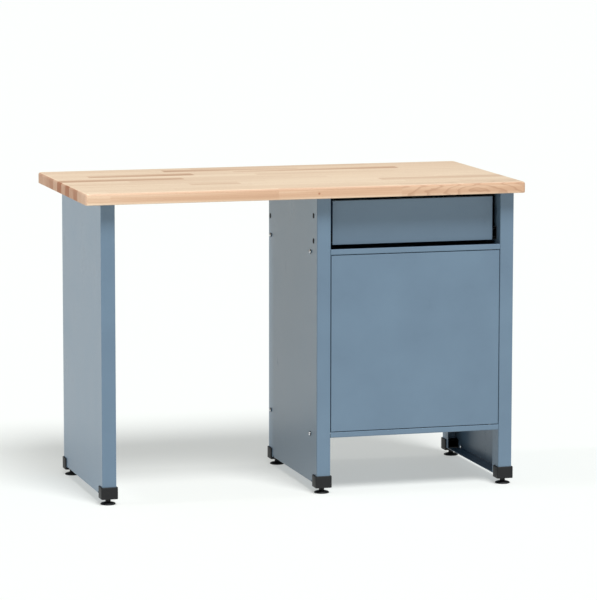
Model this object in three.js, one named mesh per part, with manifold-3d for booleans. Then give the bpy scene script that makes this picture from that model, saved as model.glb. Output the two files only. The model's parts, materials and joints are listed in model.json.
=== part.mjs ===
import * as THREE from 'three';
import { mergeVertices } from 'three/addons/utils/BufferGeometryUtils.js';
import Module from 'manifold-3d';

const wasm = await Module();
wasm.setup();

// Bench
const BENCH_WIDTH = 1200;
const BENCH_DEPTH = 600;
const BENCH_HEIGHT = 825;
const TOP_THICK = 30;
const TOP_ROUND = 5;
const TOP_CORNER = 8;
const FRONT_OVERHANG = 40;
const LEFT_OVERHANG = 48;
const RIGHT_OVERHANG = 19;

// Fits
const FIT = 0.3;
const LOOSE = 0.6;
const EDGE_GAP = 1;
const OVERCUT = 1;

// Side panels
const PANEL_WIDTH = 38;
const PANEL_DEPTH = 475;
const LIP_DEPTH = 48;
const PANEL_SHEET = 1.5;
const BEND_INNER = 1;
const CORNER_RELIEF = 3;
const RELIEF_RADIUS = 4;
const CABINET_WIDTH = 549;
const FOLD_LAP = 20;
const TOP_SCREW_RADIUS = 3;
const TOP_SCREW_INSET = 60;

// Slots in webs and lips
const SLOT_WIDTH = 9;
const SLOT_LENGTH = 12;
const SLOT_ROUND = 2;
const SLOT_DROP = 6;
const UPPER_SLOT_RISE = 67;
const REAR_SLOT_RISE = 21;
const REAR_SLOT_SETBACK = 16;
const LIP_SLOT_INSET = 14;

// Feet
const CAP_WALL = 3.5;
const CAP_DEPTH = 38;
const CAP_FLOOR = 8;
const CAP_RISE = 24;
const CAP_ROUND = 3;
const PLUG_DROP = 4;
const FOOT_GAP = 9.5;
const DISC_RADIUS = 20;
const DISC_HEIGHT = 6.5;
const DISC_RIM = 2.5;
const DISC_EDGE = 1.5;
const STEM_RADIUS = 7;
const STEM_COLLAR = 2;
const STEM_REACH = 26;

// Cabinet
const CABINET_LIFT = 150;
const STRIP_HEIGHT = 15;
const NOSE_RETURN = 47;
const RAIL_LIP = 7;
const RAIL_TURN = 6;
const TRAY_LAP = 30;
const ANGLE_SHEET = 2;
const ANGLE_HEIGHT = 18;
const ANGLE_WIDTH = 26;
const ANGLE_TAIL_GAP = 12;
const BACK_FLANGE = 20;
const BACK_INSET = 1;

// Door
const DOOR_SEAM = 1.6;
const DOOR_DEPTH = 18;
const DOOR_SHEET = 1.2;
const DOOR_ROUND = 1;
const PIVOT_SIDE = 22;
const PIN_RADIUS = 3;
const PIN_HEAD = 3;
const PIN_BITE = 8;
const BUSH_WALL = 1.3;
const BUSH_BRIM = 1.4;
const BUSH_LENGTH = 7;
const BUSH_GAP = 0.8;

// Latch
const LATCH_SIDE = 18;
const LATCH_WALL = 4;
const LATCH_HEIGHT = 20;
const PLUNGER_RADIUS = 4;
const PLUNGER_LENGTH = 32;
const PLUNGER_SHOW = 5;
const PLUNGER_ROOM = 6;
const STRIKE_SIZE = 14;
const STRIKE_THICK = 1.5;

// Shelf
const SHELF_SHEET = 1.2;
const SHELF_FLANGE = 20;
const SHELF_BACK_GAP = 8;
const PEG_RADIUS = 3;
const PEG_COLLAR = 5;
const PEG_REACH = 14;
const PEG_ROOT = 7;
const PEG_INSET = 8;
const PEG_PITCH = 90;

// Drawer
const DRAWER_OPENING = 140;
const DRAWER_RECESS = 28;
const DRAWER_LIFT = 8.5;
const DRAWER_TOP_GAP = 14;
const DRAWER_FRONT_DEPTH = 16;
const DRAWER_SHEET = 1.2;
const BOX_LIFT = 2;
const BOX_DROP = 12.5;

// Runners
const RUNNER_THICK = 12.7;
const RUNNER_HEIGHT = 35;
const RUNNER_SETBACK = 2;
const RUNNER_BACK_GAP = 4;
const RUNNER_SHEET = 1.2;
const RUNNER_BEND = 0.5;
const RUNNER_LIFT = 0.5;
const RAIL_GAP = 3.2;
const HOOK_SETBACK = 4;
const HOOK_PLAY = 1;
const HOOK_REACH = 2;
const CAGE_SHEET = 1;
const CAGE_ROOM = 2.8;
const CAGE_LENGTH = 110;
const CAGE_EDGE = 2;
const BALL_ROOM = 5.1;
const BALLS_PER_ROW = 5;

// Places worked out from the sizes
const underTop = BENCH_HEIGHT - TOP_THICK;
const capBottom = DISC_HEIGHT + FOOT_GAP;
const panelBottom = capBottom + CAP_FLOOR;
const frontY = -BENCH_DEPTH / 2 + FRONT_OVERHANG;
const rearY = frontY + PANEL_DEPTH;
const frontLipEnd = frontY + LIP_DEPTH;
const rearLipEnd = rearY - LIP_DEPTH;
const leftWeb = -BENCH_WIDTH / 2 + LEFT_OVERHANG;
const rightWeb = BENCH_WIDTH / 2 - RIGHT_OVERHANG;
const middleWeb = rightWeb - CABINET_WIDTH;
const cabLeft = middleWeb + PANEL_WIDTH;
const cabRight = rightWeb - PANEL_WIDTH;
const floorTop = CABINET_LIFT + STRIP_HEIGHT;
const dividerTop = underTop - DRAWER_OPENING;
const railBottom = dividerTop - STRIP_HEIGHT;
const backOuter = rearY - BACK_INSET;
const backInner = backOuter - PANEL_SHEET;
const doorLeft = cabLeft + DOOR_SEAM;
const doorRight = cabRight - DOOR_SEAM;
const doorBottom = floorTop + DOOR_SEAM;
const doorTop = railBottom - DOOR_SEAM;
const doorBack = frontY + DOOR_DEPTH;
const pinBore = PIN_RADIUS + FIT;
const bushRadius = pinBore + BUSH_WALL;
const bushFlange = bushRadius + BUSH_BRIM;
const pivotBack = DOOR_SHEET + BUSH_GAP + bushFlange;
const pivotX = doorRight - PIVOT_SIDE;
const pivotY = frontY + pivotBack;
const pinCollar = pivotBack - PANEL_SHEET - BEND_INNER - LOOSE;
const drawerFrontY = frontY + DRAWER_RECESS;
const drawerLeft = cabLeft + RUNNER_THICK;
const drawerRight = cabRight - RUNNER_THICK;
const drawerBottom = dividerTop + DRAWER_LIFT;
const drawerTop = underTop - DRAWER_TOP_GAP;
const runnerFront = drawerFrontY + RUNNER_SETBACK;
const runnerRear = backOuter - BACK_FLANGE - RUNNER_BACK_GAP;
const runnerMid = drawerBottom + RUNNER_LIFT + RUNNER_HEIGHT / 2;
const hookY = runnerFront + HOOK_SETBACK;
const slotLow = runnerMid - SLOT_DROP;
const shelfSide = PANEL_SHEET + FIT * 3;
const shelfTop = (floorTop + railBottom) / 2;
const pegZ = shelfTop - SHELF_SHEET - PEG_RADIUS - FIT;
const pegFrontY = frontLipEnd - PEG_INSET;
const pegRearY = rearLipEnd + PEG_INSET;
const shelfFront = pegFrontY - PEG_RADIUS - EDGE_GAP - SHELF_SHEET;
const shelfRear = backInner - SHELF_BACK_GAP;

// Materials
const finishes = {
  beech: { color: 0xe6cda6, roughness: 0.5, metalness: 0 },
  coat: { color: 0x7089a0, roughness: 0.45, metalness: 0.1 },
  plastic: { color: 0x2d2f30, roughness: 0.6, metalness: 0 },
  zinc: { color: 0xb9bdc0, roughness: 0.35, metalness: 0.9 },
  nylon: { color: 0xe4e3dc, roughness: 0.55, metalness: 0 },
};

const bench = new THREE.Group();
bench.name = 'workbench';

// One group for each sub-assembly
function assembly(name) {
  const group = new THREE.Group();
  group.name = name;
  bench.add(group);
  return group;
}
const stand = assembly('stand');
const cabinet = assembly('cabinet');
const door = assembly('door');
const latch = assembly('latch');
const drawer = assembly('drawer');
const runners = assembly('runners');

// Geometry to closed solid
function solid(geometry) {
  const bare = geometry.index ? geometry.toNonIndexed() : geometry.clone();
  bare.deleteAttribute('normal');
  bare.deleteAttribute('uv');
  const merged = mergeVertices(bare, 1e-4);
  const mesh = new wasm.Mesh({
    numProp: 3,
    vertProperties: new Float32Array(merged.attributes.position.array),
    triVerts: new Uint32Array(merged.index.array),
  });
  mesh.merge();
  return new wasm.Manifold(mesh);
}

// Solid to named mesh
function add(group, name, body, finish) {
  const out = body.getMesh();
  const geometry = new THREE.BufferGeometry();
  const stride = out.numProp;
  const count = out.vertProperties.length / stride;
  const position = new Float32Array(count * 3);
  for (let i = 0; i < count; i += 1) {
    position.set(out.vertProperties.subarray(i * stride, i * stride + 3), i * 3);
  }
  geometry.setAttribute('position', new THREE.BufferAttribute(position, 3));
  geometry.setIndex(new THREE.BufferAttribute(new Uint32Array(out.triVerts), 1));
  const flat = geometry.toNonIndexed();
  flat.computeVertexNormals();
  const mesh = new THREE.Mesh(flat, new THREE.MeshStandardMaterial(finishes[finish]));
  mesh.name = name;
  group.add(mesh);
}

// Block between two corners, given in any order
function block(xa, xb, ya, yb, za, zb) {
  const geometry = new THREE.BoxGeometry(Math.abs(xb - xa), Math.abs(yb - ya), Math.abs(zb - za));
  geometry.translate((xa + xb) / 2, (ya + yb) / 2, (za + zb) / 2);
  return solid(geometry);
}

// Profile pushed along an axis
function prism(points, axis, from, to) {
  const low = Math.min(from, to);
  const high = Math.max(from, to);
  const shape = new THREE.Shape(points.map((p) => new THREE.Vector2(p[0], p[1])));
  const geometry = new THREE.ExtrudeGeometry(shape, { depth: high - low, bevelEnabled: false });
  const turn = new THREE.Matrix4();
  if (axis === 'z') {
    turn.makeTranslation(0, 0, low);
  } else if (axis === 'x') {
    turn.set(0, 0, 1, low, 1, 0, 0, 0, 0, 1, 0, 0, 0, 0, 0, 1);
  } else {
    turn.set(1, 0, 0, 0, 0, 0, -1, high, 0, 1, 0, 0, 0, 0, 0, 1);
  }
  geometry.applyMatrix4(turn);
  return solid(geometry);
}

// Rod along an axis through a point
function rod(axis, radius, x, y, z, from, to, sides = 20) {
  const length = Math.abs(to - from);
  const mid = (from + to) / 2;
  const geometry = new THREE.CylinderGeometry(radius, radius, length, sides);
  if (axis === 'x') {
    geometry.rotateZ(Math.PI / 2);
    geometry.translate(mid, y, z);
  } else if (axis === 'z') {
    geometry.rotateX(Math.PI / 2);
    geometry.translate(x, y, mid);
  } else {
    geometry.translate(x, mid, z);
  }
  return solid(geometry);
}

// Turned piece about a vertical line
function turned(profile, x, y, sides = 20) {
  const geometry = new THREE.LatheGeometry(profile.map((p) => new THREE.Vector2(p[0], p[1])), sides);
  geometry.rotateX(Math.PI / 2);
  geometry.translate(x, y, 0);
  return solid(geometry);
}

// Rounded rectangle as points
function roundRect(ua, ub, va, vb, radius, steps = 3) {
  const points = [];
  const corners = [[ub - radius, va + radius, -90], [ub - radius, vb - radius, 0],
    [ua + radius, vb - radius, 90], [ua + radius, va + radius, 180]];
  for (const [cu, cv, start] of corners) {
    for (let i = 0; i <= steps; i += 1) {
      const angle = THREE.MathUtils.degToRad(start + (90 * i) / steps);
      points.push([cu + radius * Math.cos(angle), cv + radius * Math.sin(angle)]);
    }
  }
  return points;
}

// Folded sheet section: path of the outer face, sheet on the right of it, every bend to the right
function folded(path, sheet, inner, steps = 3) {
  const outerSide = [];
  const innerSide = [];
  const outer = sheet + inner;
  const heading = (a, b) => {
    const length = Math.hypot(b[0] - a[0], b[1] - a[1]);
    return [(b[0] - a[0]) / length, (b[1] - a[1]) / length];
  };
  path.forEach((p, i) => {
    const before = i > 0 ? heading(path[i - 1], p) : null;
    const after = i < path.length - 1 ? heading(p, path[i + 1]) : null;
    if (before && after) {
      const center = [p[0] + (before[1] - before[0]) * outer, p[1] - (before[0] + before[1]) * outer];
      const start = Math.atan2(before[0], -before[1]);
      for (let k = 0; k <= steps; k += 1) {
        const angle = start - (Math.PI / 2) * (k / steps);
        outerSide.push([center[0] + outer * Math.cos(angle), center[1] + outer * Math.sin(angle)]);
        innerSide.push([center[0] + inner * Math.cos(angle), center[1] + inner * Math.sin(angle)]);
      }
    } else {
      const way = before || after;
      outerSide.push([p[0], p[1]]);
      innerSide.push([p[0] + way[1] * sheet, p[1] - way[0] * sheet]);
    }
  });
  return outerSide.concat(innerSide.reverse());
}

// Upright slot cut across a sheet
function slot(xa, xb, y, z) {
  const side = SLOT_WIDTH / 2;
  const end = SLOT_LENGTH / 2;
  return prism(roundRect(y - side, y + side, z - end, z + end, SLOT_ROUND), 'x', xa, xb);
}

// Bench top
const slabX = [-BENCH_WIDTH / 2, BENCH_WIDTH / 2];
const slabY = [-BENCH_DEPTH / 2, BENCH_DEPTH / 2];
const slabZ = [underTop, BENCH_HEIGHT];
const slabPlan = prism(roundRect(...slabX, ...slabY, TOP_CORNER, 4), 'z', ...slabZ);
const slabFront = prism(roundRect(...slabX, ...slabZ, TOP_ROUND), 'y', ...slabY);
const slabSide = prism(roundRect(...slabY, ...slabZ, TOP_ROUND), 'x', ...slabX);
add(stand, 'bench_top', slabPlan.intersect(slabFront).intersect(slabSide), 'beech');

// Side panels
function sidePanel(web, dir, punched) {
  const at = (a) => web + dir * a;
  const run = [[PANEL_WIDTH, LIP_DEPTH], [PANEL_WIDTH, 0], [0, 0], [0, PANEL_DEPTH],
    [PANEL_WIDTH, PANEL_DEPTH], [PANEL_WIDTH, PANEL_DEPTH - LIP_DEPTH]];
  const section = folded(run, PANEL_SHEET, BEND_INNER);
  let body = prism(section.map((p) => [at(p[0]), frontY + p[1]]), 'z', panelBottom, underTop);
  const ya = frontLipEnd + CORNER_RELIEF;
  const yb = rearLipEnd - CORNER_RELIEF;
  const bend = PANEL_SHEET + BEND_INNER;
  const fold = folded([[PANEL_WIDTH, 0], [0, 0], [0, FOLD_LAP]], PANEL_SHEET, BEND_INNER);
  body = body.subtract(block(at(-OVERCUT), at(bend), ya, yb, panelBottom - OVERCUT, panelBottom + bend));
  body = body.add(prism(fold.map((p) => [at(p[0]), panelBottom + p[1]]), 'y', ya, yb));
  body = body.subtract(block(at(-OVERCUT), at(bend), ya, yb, underTop - bend, underTop + OVERCUT));
  body = body.add(prism(fold.map((p) => [at(p[0]), underTop - p[1]]), 'y', ya, yb));
  for (const y of [ya - CORNER_RELIEF / 2, yb + CORNER_RELIEF / 2]) {
    for (const z of [panelBottom + bend, underTop - bend]) {
      body = body.subtract(rod('x', RELIEF_RADIUS, 0, y, z, at(-OVERCUT), at(bend + OVERCUT), 12));
    }
  }
  const center = at(PANEL_WIDTH / 2);
  for (const y of [ya + TOP_SCREW_INSET, (ya + yb) / 2, yb - TOP_SCREW_INSET]) {
    body = body.subtract(rod('z', TOP_SCREW_RADIUS, center, y, 0, underTop - bend, underTop + OVERCUT, 12));
  }
  if (punched) {
    const outside = at(-OVERCUT);
    const inside = at(PANEL_WIDTH + OVERCUT);
    for (const z of [slotLow, slotLow + UPPER_SLOT_RISE]) {
      body = body.subtract(slot(outside, inside, hookY, z));
      body = body.subtract(slot(center, inside, rearLipEnd + LIP_SLOT_INSET, z));
    }
    body = body.subtract(slot(outside, center, rearY - REAR_SLOT_SETBACK, slotLow + REAR_SLOT_RISE));
    for (const y of [pegFrontY, pegRearY]) {
      for (const step of [-1, 0, 1]) {
        const z = pegZ + step * PEG_PITCH;
        body = body.subtract(rod('x', PEG_RADIUS + FIT, 0, y, z, center, inside, 12));
      }
    }
  }
  return body;
}
add(stand, 'left_side_panel', sidePanel(leftWeb, 1, false), 'coat');
add(stand, 'middle_side_panel', sidePanel(middleWeb, 1, true), 'coat');
add(stand, 'right_side_panel', sidePanel(rightWeb, -1, true), 'coat');

// Foot caps
function footCap(web, dir, end, way) {
  const at = (a) => web + dir * a;
  const deep = (b) => end + way * b;
  const side = PANEL_WIDTH + CAP_WALL;
  const tail = CAP_DEPTH - CAP_WALL;
  const top = panelBottom + CAP_RISE;
  const over = top + OVERCUT;
  const past = deep(tail + OVERCUT);
  const plan = roundRect(-CAP_WALL, side, -CAP_WALL, tail, CAP_ROUND);
  const shell = prism(plan.map((p) => [at(p[0]), deep(p[1])]), 'z', capBottom, top);
  const inside = PANEL_SHEET + LOOSE;
  const socket = block(at(-FIT), at(PANEL_WIDTH + FIT), deep(-FIT), past, panelBottom, over);
  const plug = block(at(inside), at(PANEL_WIDTH - inside), deep(inside), deep(tail), panelBottom - OVERCUT,
    top - PLUG_DROP);
  const thread = rod('z', STEM_RADIUS + FIT, at(PANEL_WIDTH / 2), deep(PANEL_WIDTH / 2), 0, 0, over);
  return shell.subtract(socket).add(plug).subtract(thread);
}

// Levelling foot
function levellingFoot(x, y) {
  const stemTop = capBottom + STEM_REACH;
  const collar = STEM_RADIUS + STEM_COLLAR;
  const dome = (part) => [collar + (DISC_RADIUS - collar) * Math.cos((part * Math.PI) / 2),
    DISC_RIM + (DISC_HEIGHT - DISC_RIM) * Math.sin((part * Math.PI) / 2)];
  const profile = [[0, 0], [DISC_RADIUS - DISC_EDGE, 0], [DISC_RADIUS, DISC_EDGE],
    dome(0), dome(1 / 3), dome(2 / 3), [collar, DISC_HEIGHT], [STEM_RADIUS, DISC_HEIGHT + STEM_COLLAR],
    [STEM_RADIUS, stemTop - DISC_EDGE], [STEM_RADIUS - DISC_EDGE, stemTop], [0, stemTop]];
  return turned(profile, x, y);
}
for (const [side, web, dir] of [['left', leftWeb, 1], ['middle', middleWeb, 1], ['right', rightWeb, -1]]) {
  for (const [place, end, way] of [['front', frontY, 1], ['rear', rearY, -1]]) {
    add(stand, `${side}_${place}_foot_cap`, footCap(web, dir, end, way), 'plastic');
    const foot = levellingFoot(web + dir * PANEL_WIDTH / 2, end + way * PANEL_WIDTH / 2);
    add(stand, `${side}_${place}_foot`, foot, 'plastic');
  }
}

// Support angles on the webs
function supportAngle(web, dir, seat) {
  const at = (a) => web + dir * (PANEL_SHEET + a);
  const ya = frontLipEnd + EDGE_GAP;
  const yb = rearLipEnd - EDGE_GAP;
  const bend = ANGLE_SHEET + BEND_INNER;
  const section = folded([[0, -ANGLE_HEIGHT], [0, 0], [ANGLE_WIDTH, 0]], ANGLE_SHEET, BEND_INNER);
  const body = prism(section.map((p) => [at(p[0]), seat + p[1]]), 'y', ya, yb);
  const tailEnd = rearY - ANGLE_TAIL_GAP;
  const tail = block(at(0), at(ANGLE_SHEET), yb - bend, tailEnd, seat - ANGLE_HEIGHT, seat - bend);
  return body.add(tail);
}

// Folded trays between the panels: a deck, a nose that shows in front and a hem at the back
const trayRear = backInner - FIT;
function tray(under, nose, hem) {
  const inner = [middleWeb + PANEL_SHEET + FIT, rightWeb - PANEL_SHEET - FIT];
  const outer = [cabLeft + FIT, cabRight - FIT];
  const tuck = PANEL_SHEET + BEND_INNER + FIT;
  const tail = [outer[0] + tuck, outer[1] - tuck];
  const ya = frontLipEnd + EDGE_GAP;
  const yb = rearLipEnd - EDGE_GAP;
  const front = frontY + TRAY_LAP / 2;
  const end = trayRear - TRAY_LAP / 2;
  const plan = [[outer[0], front], [outer[1], front], [outer[1], ya], [inner[1], ya], [inner[1], yb],
    [tail[1], yb], [tail[1], end], [tail[0], end], [tail[0], yb], [inner[0], yb], [inner[0], ya],
    [outer[0], ya]];
  return prism(plan, 'z', under, under + PANEL_SHEET)
    .add(prism(folded(nose, PANEL_SHEET, BEND_INNER), 'x', outer[0], outer[1]))
    .add(prism(folded(hem, PANEL_SHEET, BEND_INNER), 'x', tail[0], tail[1]));
}
const floorUnder = floorTop - PANEL_SHEET;
const railOver = railBottom + PANEL_SHEET;
const floorHole = rod('z', pinBore, pivotX, pivotY, 0, floorUnder - OVERCUT, floorTop + OVERCUT);
const railHole = rod('z', pinBore, pivotX, pivotY, 0, railBottom - OVERCUT, railOver + OVERCUT);
const floorNose = [[frontY + NOSE_RETURN, CABINET_LIFT], [frontY, CABINET_LIFT], [frontY, floorTop],
  [frontY + TRAY_LAP, floorTop]];
const floorHem = [[trayRear - TRAY_LAP, floorTop], [trayRear, floorTop], [trayRear, CABINET_LIFT]];
const railNose = [[frontY + TRAY_LAP, railBottom], [frontY, railBottom], [frontY, dividerTop],
  [frontY + RAIL_LIP, dividerTop], [frontY + RAIL_LIP, dividerTop - RAIL_TURN]];
const railHem = [[trayRear, dividerTop], [trayRear, railBottom], [trayRear - TRAY_LAP, railBottom]];
add(cabinet, 'cabinet_floor', tray(floorUnder, floorNose, floorHem).subtract(floorHole), 'coat');
add(cabinet, 'drawer_divider', tray(railBottom, railNose, railHem).subtract(railHole), 'coat');
for (const [what, seat] of [['floor', floorUnder], ['divider', railBottom]]) {
  add(cabinet, `${what}_left_angle`, supportAngle(middleWeb, 1, seat), 'coat');
  add(cabinet, `${what}_right_angle`, supportAngle(rightWeb, -1, seat), 'coat');
}

// Cabinet back
const backFold = backOuter - BACK_FLANGE;
const backRun = [[cabLeft + FIT, backFold], [cabLeft + FIT, backOuter], [cabRight - FIT, backOuter],
  [cabRight - FIT, backFold]];
const backBody = prism(folded(backRun, PANEL_SHEET, BEND_INNER), 'z', CABINET_LIFT, underTop - FIT);
add(cabinet, 'cabinet_back', backBody, 'coat');

// Shelf on pegs
const shelfRun = [[shelfFront, shelfTop - SHELF_FLANGE], [shelfFront, shelfTop], [shelfRear, shelfTop],
  [shelfRear, shelfTop - SHELF_FLANGE]];
const shelfFold = folded(shelfRun, SHELF_SHEET, BEND_INNER);
add(cabinet, 'cupboard_shelf', prism(shelfFold, 'x', cabLeft + shelfSide, cabRight - shelfSide), 'coat');
for (const [side, face, dir] of [['left', cabLeft, 1], ['right', cabRight, -1]]) {
  for (const [place, y] of [['front', pegFrontY], ['rear', pegRearY]]) {
    const pin = rod('x', PEG_RADIUS, 0, y, pegZ, face - dir * PEG_ROOT, face + dir * PEG_REACH, 16);
    const collar = rod('x', PEG_COLLAR, 0, y, pegZ, face, face + dir * (shelfSide - FIT * 2), 16);
    add(cabinet, `${side}_${place}_shelf_peg`, pin.add(collar), 'zinc');
  }
}

// Pan with rounded front edges, open at the back
function pan(xa, xb, za, zb, front, depth, sheet, radius) {
  const back = front + depth;
  const past = back + radius * 2;
  const plan = roundRect(xa, xb, front, past, radius);
  const side = roundRect(front, past, za, zb, radius);
  const rear = block(xa - OVERCUT, xb + OVERCUT, back, past + OVERCUT, za - OVERCUT, zb + OVERCUT);
  const hollow = block(xa + sheet, xb - sheet, front + sheet, past, za + sheet, zb - sheet);
  return prism(plan, 'z', za, zb).intersect(prism(side, 'x', xa, xb)).subtract(rear).subtract(hollow);
}

// Door
const bushHole = rod('z', bushRadius + FIT, pivotX, pivotY, 0, doorBottom - OVERCUT, doorTop + OVERCUT);
const doorBody = pan(doorLeft, doorRight, doorBottom, doorTop, frontY, DOOR_DEPTH, DOOR_SHEET, DOOR_ROUND);
add(door, 'door_pan', doorBody.subtract(bushHole), 'coat');
const rim = DOOR_SHEET + FIT;
const doorPlate = block(doorLeft + rim, doorRight - rim, doorBack - DOOR_SHEET, doorBack, doorBottom + rim,
  doorTop - rim);
add(door, 'door_inner_panel', doorPlate, 'coat');

// Door pivots
const sleeve = [[pinBore, 0], [bushRadius, 0], [bushRadius, DOOR_SHEET], [bushFlange, DOOR_SHEET],
  [bushFlange, DOOR_SHEET * 2], [bushRadius, DOOR_SHEET * 2], [bushRadius, BUSH_LENGTH],
  [pinBore, BUSH_LENGTH], [pinBore, 0]];
const lowerSleeve = sleeve.map((p) => [p[0], doorBottom + p[1]]);
const upperSleeve = sleeve.map((p) => [p[0], doorTop - p[1]]).reverse();
add(door, 'lower_door_bush', turned(lowerSleeve, pivotX, pivotY), 'nylon');
add(door, 'upper_door_bush', turned(upperSleeve, pivotX, pivotY), 'nylon');
const lowerPin = [[0, floorUnder - PIN_HEAD], [pinCollar, floorUnder - PIN_HEAD], [pinCollar, floorUnder],
  [PIN_RADIUS, floorUnder], [PIN_RADIUS, floorTop], [pinCollar, floorTop], [pinCollar, doorBottom - FIT],
  [PIN_RADIUS, doorBottom - FIT], [PIN_RADIUS, doorBottom + PIN_BITE], [0, doorBottom + PIN_BITE]];
add(cabinet, 'lower_pivot_pin', turned(lowerPin, pivotX, pivotY), 'zinc');
const upperPin = [[0, doorTop - PIN_BITE], [PIN_RADIUS, doorTop - PIN_BITE], [PIN_RADIUS, railOver],
  [pinCollar, railOver], [pinCollar, railOver + PIN_HEAD], [0, railOver + PIN_HEAD]];
add(cabinet, 'upper_pivot_pin', turned(upperPin, pivotX, pivotY), 'zinc');

// Push latch
const latchX = cabLeft + LATCH_SIDE;
const latchZ = railBottom - LATCH_HEIGHT / 2;
const strikeBack = doorBack + STRIKE_THICK;
const plungerTip = strikeBack + FIT;
const plungerEnd = plungerTip + PLUNGER_LENGTH;
const latchFront = plungerTip + PLUNGER_SHOW;
const boreEnd = plungerEnd + PLUNGER_ROOM;
const latchBore = rod('y', PLUNGER_RADIUS + FIT, latchX, 0, latchZ, latchFront - OVERCUT, boreEnd);
const latchHalf = PLUNGER_RADIUS + LATCH_WALL;
const latchBlock = block(latchX - latchHalf, latchX + latchHalf, latchFront, boreEnd + LATCH_WALL,
  railBottom - LATCH_HEIGHT, railBottom);
add(latch, 'latch_housing', latchBlock.subtract(latchBore), 'plastic');
add(latch, 'latch_plunger', rod('y', PLUNGER_RADIUS, latchX, 0, latchZ, plungerTip, plungerEnd), 'nylon');
const half = STRIKE_SIZE / 2;
const strike = block(latchX - half, latchX + half, doorBack, strikeBack, latchZ - half, latchZ + half);
add(door, 'latch_strike', strike, 'zinc');

// Drawer
const drawerPan = pan(drawerLeft, drawerRight, drawerBottom, drawerTop, drawerFrontY, DRAWER_FRONT_DEPTH,
  DRAWER_SHEET, DOOR_ROUND);
add(drawer, 'drawer_front', drawerPan, 'coat');
const boxFront = drawerFrontY + DRAWER_FRONT_DEPTH;
const boxLow = drawerBottom + BOX_LIFT;
const boxHigh = drawerTop - BOX_DROP;
const boxRun = [[drawerRight, boxHigh], [drawerRight, boxLow], [drawerLeft, boxLow], [drawerLeft, boxHigh]];
const boxSection = folded(boxRun, DRAWER_SHEET, BEND_INNER);
const wall = (y) => block(drawerLeft + DRAWER_SHEET / 2, drawerRight - DRAWER_SHEET / 2, y, y + DRAWER_SHEET,
  boxLow + DRAWER_SHEET / 2, boxHigh);
const drawerBody = prism(boxSection, 'y', boxFront, runnerRear)
  .add(wall(boxFront))
  .add(wall(runnerRear - DRAWER_SHEET));
add(drawer, 'drawer_box', drawerBody, 'coat');

// Drawer runners
const high = RUNNER_HEIGHT / 2;
const innerHigh = high - RUNNER_SHEET - BALL_ROOM;
const innerTip = RUNNER_SHEET + CAGE_ROOM;
const railReach = RUNNER_THICK - RAIL_GAP;
const ballRadius = BALL_ROOM / 2 - FIT;
const ballHeight = innerHigh + BALL_ROOM / 2;
const ballPlace = (railReach + innerTip) / 2;
const cageHigh = ballHeight + CAGE_SHEET / 2;
const cageBack = RUNNER_SHEET + (CAGE_ROOM - CAGE_SHEET) / 2;
const cageStart = (runnerFront + runnerRear - CAGE_LENGTH) / 2;
const hookHalf = [SLOT_WIDTH / 2 - HOOK_PLAY, SLOT_LENGTH / 2 - HOOK_PLAY * 2];
for (const [side, face, dir] of [['left', cabLeft, 1], ['right', cabRight, -1]]) {
  const at = (s) => face + dir * s;
  const place = (points) => points.map((p) => [at(p[0]), runnerMid + p[1]]);
  const outerRun = [[railReach, -high], [0, -high], [0, high], [railReach, high]];
  const rail = prism(place(folded(outerRun, RUNNER_SHEET, RUNNER_BEND)), 'y', runnerFront, runnerRear);
  const hook = block(at(-PANEL_SHEET - HOOK_REACH), at(RUNNER_SHEET / 2),
    hookY - hookHalf[0], hookY + hookHalf[0], slotLow - hookHalf[1], slotLow + hookHalf[1]);
  add(runners, `${side}_cabinet_rail`, rail.add(hook), 'zinc');
  const innerRun = [[innerTip, innerHigh], [RUNNER_THICK, innerHigh], [RUNNER_THICK, -innerHigh],
    [innerTip, -innerHigh]];
  const slider = prism(place(folded(innerRun, RUNNER_SHEET, RUNNER_BEND)), 'y', runnerFront, runnerRear);
  add(runners, `${side}_drawer_rail`, slider, 'zinc');
  const cageTip = ballPlace + CAGE_EDGE;
  const cageRun = [[cageTip, -cageHigh], [cageBack, -cageHigh], [cageBack, cageHigh], [cageTip, cageHigh]];
  let cage = prism(place(folded(cageRun, CAGE_SHEET, RUNNER_BEND)), 'y', cageStart, cageStart + CAGE_LENGTH);
  for (let i = 0; i < BALLS_PER_ROW; i += 1) {
    const y = cageStart + (CAGE_LENGTH * (i + 0.5)) / BALLS_PER_ROW;
    for (const sign of [-1, 1]) {
      const ball = new THREE.SphereGeometry(ballRadius, 8, 6);
      ball.translate(at(ballPlace), y, runnerMid + sign * ballHeight);
      cage = cage.add(solid(ball));
    }
  }
  add(runners, `${side}_ball_retainer`, cage, 'zinc');
}

export default bench;
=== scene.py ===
import json
import math
import random

import bpy
from mathutils import Matrix, Vector

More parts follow.
